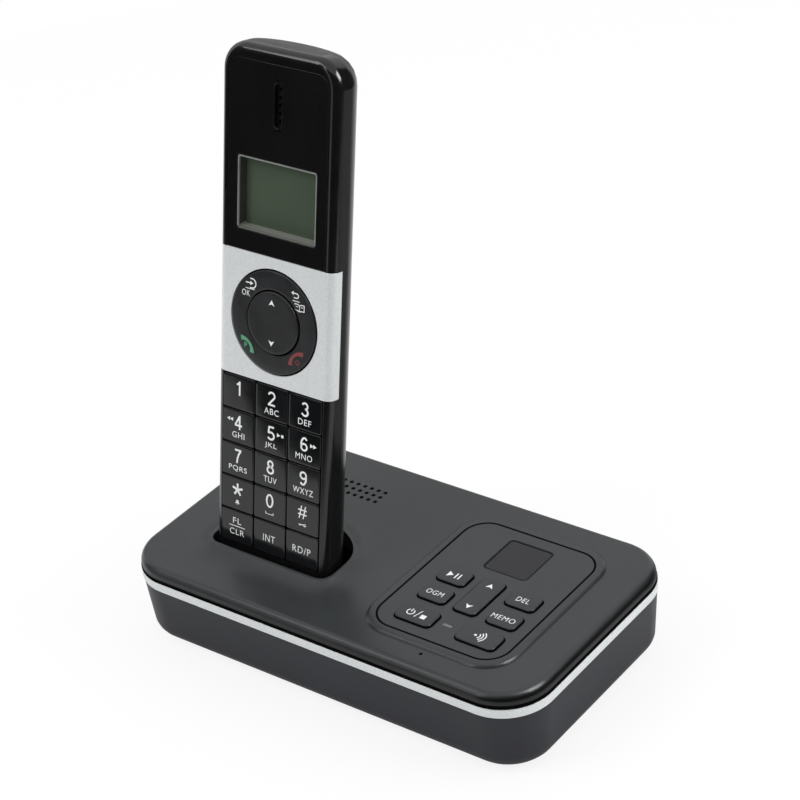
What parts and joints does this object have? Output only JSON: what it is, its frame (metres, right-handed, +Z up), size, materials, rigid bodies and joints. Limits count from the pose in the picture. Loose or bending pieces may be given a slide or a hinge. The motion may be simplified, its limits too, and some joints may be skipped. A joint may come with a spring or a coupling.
{
  "type": "cordless desk phone",
  "caption": "Cordless phone handset with keypad and display, standing in a flat charging base with a silver edge strip and an answering-machine control panel.",
  "frame": {"origin": "middle of the base's footprint on the table, at the bottom of the feet", "axes": "+X to the right seen from the front, +Y to the back, +Z up"},
  "size_m": [0.155, 0.087, 0.19],
  "materials": {
    "moulded_grey": "satin",
    "moulded_dark_grey": "satin",
    "bright_silver": "satin silver paint",
    "gloss_black": "gloss",
    "tinted_window": "smoked, gloss",
    "key_plastic": "semi-gloss",
    "panel_key_plastic": "satin",
    "silicone": "matte",
    "circuit_board": "solder mask",
    "plated_metal": "plated",
    "capsule_black": "matte",
    "display_glass": "grey-green, gloss",
    "light_pipe": "clear, frosted",
    "cell_sleeve": "printed sleeve, plain"
  },
  "bodies": {
    "base": {"base_top_cover": "moulded_grey", "base_bottom_cover": "moulded_dark_grey", "trim_strip": "bright_silver", "control_panel": "moulded_grey", "message_window": "tinted_window", "message_display": "capsule_black", "panel_mat": "silicone", "panel_board": "circuit_board", "base_board": "circuit_board", "base_speaker": "capsule_black", "base_microphone": "capsule_black", "cradle_contacts": "plated_metal", "indicator_light": "light_pipe", "power_socket": "capsule_black", "line_socket": "capsule_black", "rubber_feet": "silicone", "base_screws": "plated_metal"},
    "handset": {"handset_front_shell": "gloss_black", "handset_rear_shell": "gloss_black", "silver_band": "bright_silver", "display_lens": "gloss_black", "display_bezel": "bright_silver", "display_module": "display_glass", "earpiece_speaker": "capsule_black", "handset_board": "circuit_board", "keypad_mat": "silicone", "battery_cells": "cell_sleeve", "battery_contacts": "plated_metal", "ringer_speaker": "capsule_black", "handset_microphone": "capsule_black", "charge_contacts": "plated_metal", "handset_screws": "plated_metal"},
    "battery_door": {"battery_door": "gloss_black"},
    "nav_pad": {"nav_pad": "silicone"},
    "nav_ring": {"nav_ring": "key_plastic"},
    "nav_rocker": {"nav_rocker": "key_plastic"},
    "key_1": {"key_1": "key_plastic"},
    "key_2": {"key_2": "key_plastic"},
    "key_3": {"key_3": "key_plastic"},
    "key_4": {"key_4": "key_plastic"},
    "key_5": {"key_5": "key_plastic"},
    "key_6": {"key_6": "key_plastic"},
    "key_7": {"key_7": "key_plastic"},
    "key_8": {"key_8": "key_plastic"},
    "key_9": {"key_9": "key_plastic"},
    "key_star": {"key_star": "key_plastic"},
    "key_0": {"key_0": "key_plastic"},
    "key_hash": {"key_hash": "key_plastic"},
    "key_flash": {"key_flash": "key_plastic"},
    "key_intercom": {"key_intercom": "key_plastic"},
    "key_redial": {"key_redial": "key_plastic"},
    "key_play": {"key_play": "panel_key_plastic"},
    "key_greeting": {"key_greeting": "panel_key_plastic"},
    "key_power": {"key_power": "panel_key_plastic"},
    "key_delete": {"key_delete": "panel_key_plastic"},
    "key_memo": {"key_memo": "panel_key_plastic"},
    "key_page": {"key_page": "panel_key_plastic"},
    "volume_rocker": {"volume_rocker": "panel_key_plastic"}
  },
  "joints": [
    {"name": "handset_lift", "type": "slide", "parent": "base", "child": "handset", "axis": [0, 0.2215, 0.9751], "range_m": [0, 0.06]},
    {"name": "battery_door_slide", "type": "slide", "parent": "handset", "child": "battery_door", "axis": [0, -0.2215, -0.9751], "range_m": [0, 0.0065]},
    {"name": "nav_pad_tilt", "type": "hinge", "parent": "handset", "child": "nav_pad", "pos_m": [-0.0325, -0.0015, 0.10783], "axis": [1, 0, 0], "range_deg": [-1.5, 1.5], "stiffness_Nm_per_rad": 0.05},
    {"name": "nav_ring_tilt", "type": "hinge", "parent": "nav_pad", "child": "nav_ring", "pos_m": [-0.0325, -0.00228, 0.108], "axis": [0, 0.2215, 0.9751], "range_deg": [-1.5, 1.5], "stiffness_Nm_per_rad": 0.05},
    {"name": "nav_rocker_tilt", "type": "hinge", "parent": "handset", "child": "nav_rocker", "pos_m": [-0.0325, -0.00228, 0.108], "axis": [1, 0, 0], "range_deg": [-2.2, 2.2], "stiffness_Nm_per_rad": 0.05},
    {"name": "key_1_press", "type": "slide", "parent": "handset", "child": "key_1", "axis": [0, 0.9751, -0.2215], "range_m": [0, 0.0005], "stiffness_N_per_m": 600},
    {"name": "key_2_press", "type": "slide", "parent": "handset", "child": "key_2", "axis": [0, 0.9751, -0.2215], "range_m": [0, 0.0005], "stiffness_N_per_m": 600},
    {"name": "key_3_press", "type": "slide", "parent": "handset", "child": "key_3", "axis": [0, 0.9751, -0.2215], "range_m": [0, 0.0005], "stiffness_N_per_m": 600},
    {"name": "key_4_press", "type": "slide", "parent": "handset", "child": "key_4", "axis": [0, 0.9751, -0.2215], "range_m": [0, 0.0005], "stiffness_N_per_m": 600},
    {"name": "key_5_press", "type": "slide", "parent": "handset", "child": "key_5", "axis": [0, 0.9751, -0.2215], "range_m": [0, 0.0005], "stiffness_N_per_m": 600},
    {"name": "key_6_press", "type": "slide", "parent": "handset", "child": "key_6", "axis": [0, 0.9751, -0.2215], "range_m": [0, 0.0005], "stiffness_N_per_m": 600},
    {"name": "key_7_press", "type": "slide", "parent": "handset", "child": "key_7", "axis": [0, 0.9751, -0.2215], "range_m": [0, 0.0005], "stiffness_N_per_m": 600},
    {"name": "key_8_press", "type": "slide", "parent": "handset", "child": "key_8", "axis": [0, 0.9751, -0.2215], "range_m": [0, 0.0005], "stiffness_N_per_m": 600},
    {"name": "key_9_press", "type": "slide", "parent": "handset", "child": "key_9", "axis": [0, 0.9751, -0.2215], "range_m": [0, 0.0005], "stiffness_N_per_m": 600},
    {"name": "key_star_press", "type": "slide", "parent": "handset", "child": "key_star", "axis": [0, 0.9751, -0.2215], "range_m": [0, 0.0005], "stiffness_N_per_m": 600},
    {"name": "key_0_press", "type": "slide", "parent": "handset", "child": "key_0", "axis": [0, 0.9751, -0.2215], "range_m": [0, 0.0005], "stiffness_N_per_m": 600},
    {"name": "key_hash_press", "type": "slide", "parent": "handset", "child": "key_hash", "axis": [0, 0.9751, -0.2215], "range_m": [0, 0.0005], "stiffness_N_per_m": 600},
    {"name": "key_flash_press", "type": "slide", "parent": "handset", "child": "key_flash", "axis": [0, 0.9751, -0.2215], "range_m": [0, 0.0005], "stiffness_N_per_m": 600},
    {"name": "key_intercom_press", "type": "slide", "parent": "handset", "child": "key_intercom", "axis": [0, 0.9751, -0.2215], "range_m": [0, 0.0005], "stiffness_N_per_m": 600},
    {"name": "key_redial_press", "type": "slide", "parent": "handset", "child": "key_redial", "axis": [0, 0.9751, -0.2215], "range_m": [0, 0.0005], "stiffness_N_per_m": 600},
    {"name": "key_play_press", "type": "slide", "parent": "base", "child": "key_play", "axis": [0, 0, -1], "range_m": [0, 0.0006], "stiffness_N_per_m": 600},
    {"name": "key_greeting_press", "type": "slide", "parent": "base", "child": "key_greeting", "axis": [0, 0, -1], "range_m": [0, 0.0006], "stiffness_N_per_m": 600},
    {"name": "key_power_press", "type": "slide", "parent": "base", "child": "key_power", "axis": [0, 0, -1], "range_m": [0, 0.0006], "stiffness_N_per_m": 600},
    {"name": "key_delete_press", "type": "slide", "parent": "base", "child": "key_delete", "axis": [0, 0, -1], "range_m": [0, 0.0006], "stiffness_N_per_m": 600},
    {"name": "key_memo_press", "type": "slide", "parent": "base", "child": "key_memo", "axis": [0, 0, -1], "range_m": [0, 0.0006], "stiffness_N_per_m": 600},
    {"name": "key_page_press", "type": "slide", "parent": "base", "child": "key_page", "axis": [0, 0, -1], "range_m": [0, 0.0006], "stiffness_N_per_m": 600},
    {"name": "volume_rocker_tilt", "type": "hinge", "parent": "base", "child": "volume_rocker", "pos_m": [0.0373, -0.0055, 0.0296], "axis": [1, 0, 0], "range_deg": [-1.5, 1.5], "stiffness_Nm_per_rad": 0.1}
  ]
}
